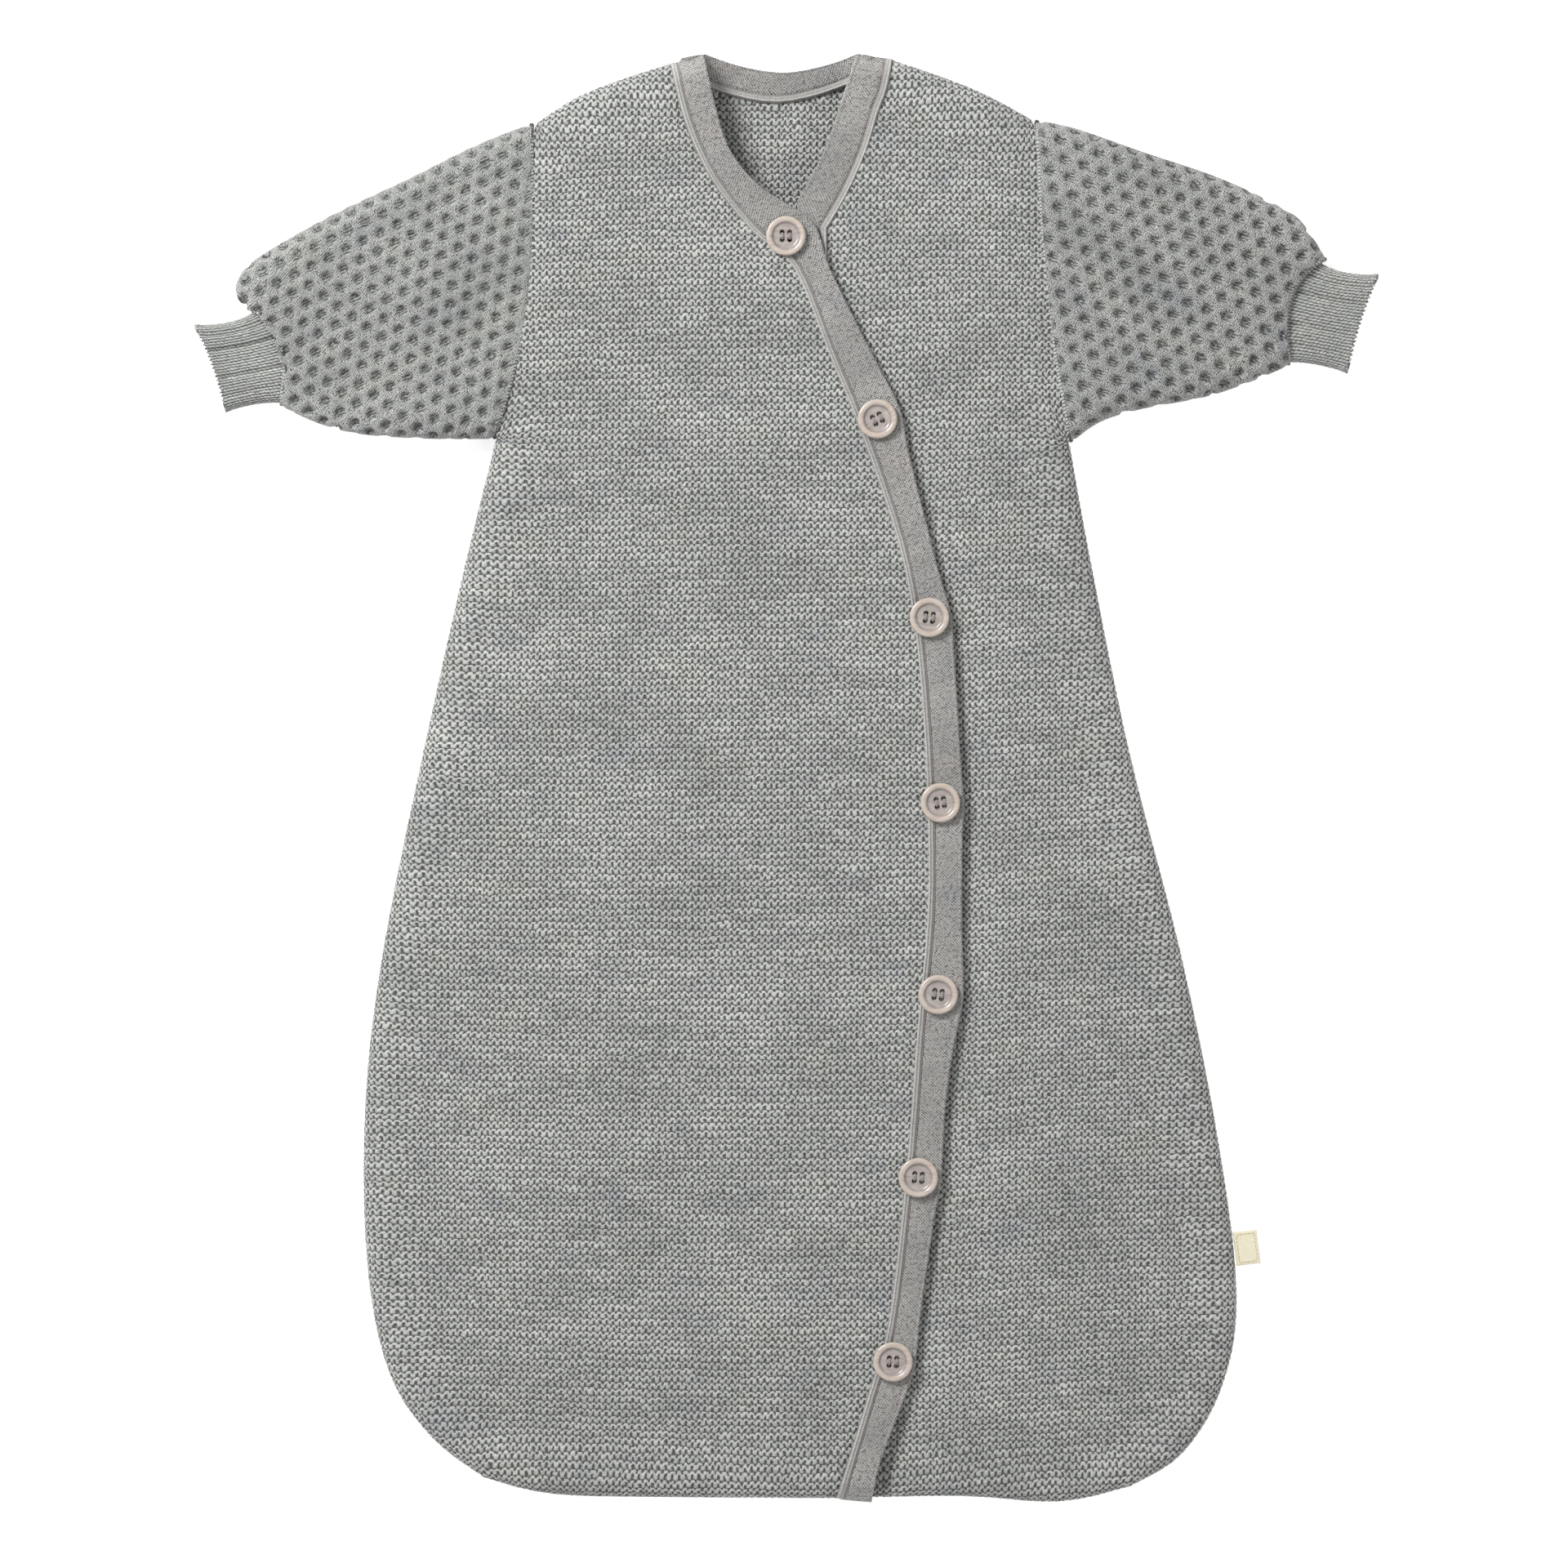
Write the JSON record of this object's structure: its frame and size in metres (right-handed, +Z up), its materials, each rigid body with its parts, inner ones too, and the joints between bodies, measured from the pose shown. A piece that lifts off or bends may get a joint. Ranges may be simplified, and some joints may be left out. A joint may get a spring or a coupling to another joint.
{
  "type": "baby sleeping bag",
  "caption": "Flat-laid knitted baby sleeping bag with long sleeves, ribbed cuffs, a V neck and a slanted wrap front closed by buttons.",
  "frame": {"origin": "point on the resting face below the middle of the garment as it lies on its back", "axes": "+X to the viewer's right, +Y towards the neck, +Z up through the front"},
  "size_m": [0.5385, 0.6595, 0.0242],
  "materials": {
    "garter_knit": "garter-stitch wool knit, heathered light grey, matt",
    "knit_seam": "turned and linked wool knit, heathered grey, matt",
    "jersey_band": "fine wool jersey, warm light grey, matt",
    "linked_seam": "chain of linked stitches, pale grey, matt",
    "honeycomb_knit": "honeycomb-stitch wool knit, heathered light grey, matt",
    "rib_knit": "fine ribbed wool knit, heathered light grey, matt",
    "button_shell": "polished shell-like button, beige and pearl, translucent",
    "sewing_thread": "sewing thread, pale grey",
    "label_tape": "woven cream tape, slight sheen",
    "label_thread": "cream stitching, slight sheen"
  },
  "bodies": {
    "root": {"back_panel": "garter_knit", "left_front_panel": "garter_knit", "right_front_panel": "garter_knit", "left_side_seam": "knit_seam", "right_side_seam": "knit_seam", "bottom_seam": "knit_seam", "left_shoulder_seam": "knit_seam", "right_shoulder_seam": "knit_seam", "back_neck_band": "jersey_band", "back_neck_seam": "linked_seam", "button_band": "jersey_band", "button_band_seam": "linked_seam", "left_armhole_seam": "knit_seam", "right_armhole_seam": "knit_seam", "thread_shanks": "sewing_thread"},
    "left_flap": {"left_front_flap": "garter_knit", "buttonhole_band": "jersey_band", "buttonhole_band_seam": "linked_seam", "buttonhole_edging": "sewing_thread"},
    "left_arm": {"left_sleeve": "honeycomb_knit", "left_underarm_seam": "knit_seam", "left_cuff_seam": "knit_seam", "left_cuff": "rib_knit"},
    "right_arm": {"right_sleeve": "honeycomb_knit", "right_underarm_seam": "knit_seam", "right_cuff_seam": "knit_seam", "right_cuff": "rib_knit"},
    "label": {"side_label": "label_tape", "label_stitching": "label_thread"},
    "button_1_body": {"button_1": "button_shell", "thread_1": "sewing_thread"},
    "button_2_body": {"button_2": "button_shell", "thread_2": "sewing_thread"},
    "button_3_body": {"button_3": "button_shell", "thread_3": "sewing_thread"},
    "button_4_body": {"button_4": "button_shell", "thread_4": "sewing_thread"},
    "button_5_body": {"button_5": "button_shell", "thread_5": "sewing_thread"},
    "button_6_body": {"button_6": "button_shell", "thread_6": "sewing_thread"},
    "button_7_body": {"button_7": "button_shell", "thread_7": "sewing_thread"}
  },
  "joints": [
    {"name": "flap_open", "type": "hinge", "parent": "root", "child": "left_flap", "pos_m": [-0.052, 0.325, 0.0215], "axis": [0.1149, -0.9934, 0], "range_deg": [0, 165], "deforming": ["buttonhole_band", "buttonhole_band_seam", "buttonhole_edging"]},
    {"name": "left_sleeve_lift", "type": "hinge", "parent": "root", "child": "left_arm", "pos_m": [-0.115, 0.297, 0.0182], "axis": [0.1189, 0.9929, 0], "range_deg": [0, 85]},
    {"name": "right_sleeve_lift", "type": "hinge", "parent": "root", "child": "right_arm", "pos_m": [0.1145, 0.2985, 0.0182], "axis": [0.1063, -0.9943, 0], "range_deg": [0, 85]},
    {"name": "label_lift", "type": "hinge", "parent": "root", "child": "label", "pos_m": [0.2058, -0.2225, 0.0097], "axis": [0.1219, -0.9925, 0], "range_deg": [0, 75]},
    {"name": "twist_button_1", "type": "hinge", "parent": "root", "child": "button_1_body", "pos_m": [0.0005, 0.2455, 0.0216], "axis": [0, 0, 1], "range_deg": [-35, 35]},
    {"name": "twist_button_2", "type": "hinge", "parent": "root", "child": "button_2_body", "pos_m": [0.042, 0.1625, 0.0216], "axis": [0, 0, 1], "range_deg": [-35, 35]},
    {"name": "twist_button_3", "type": "hinge", "parent": "root", "child": "button_3_body", "pos_m": [0.0655, 0.0725, 0.0216], "axis": [0, 0, 1], "range_deg": [-35, 35]},
    {"name": "twist_button_4", "type": "hinge", "parent": "root", "child": "button_4_body", "pos_m": [0.0705, -0.0115, 0.0216], "axis": [0, 0, 1], "range_deg": [-35, 35]},
    {"name": "twist_button_5", "type": "hinge", "parent": "root", "child": "button_5_body", "pos_m": [0.0695, -0.0985, 0.0216], "axis": [0, 0, 1], "range_deg": [-35, 35]},
    {"name": "twist_button_6", "type": "hinge", "parent": "root", "child": "button_6_body", "pos_m": [0.0605, -0.1815, 0.0216], "axis": [0, 0, 1], "range_deg": [-35, 35]},
    {"name": "twist_button_7", "type": "hinge", "parent": "root", "child": "button_7_body", "pos_m": [0.049, -0.265, 0.0216], "axis": [0, 0, 1], "range_deg": [-35, 35]}
  ]
}
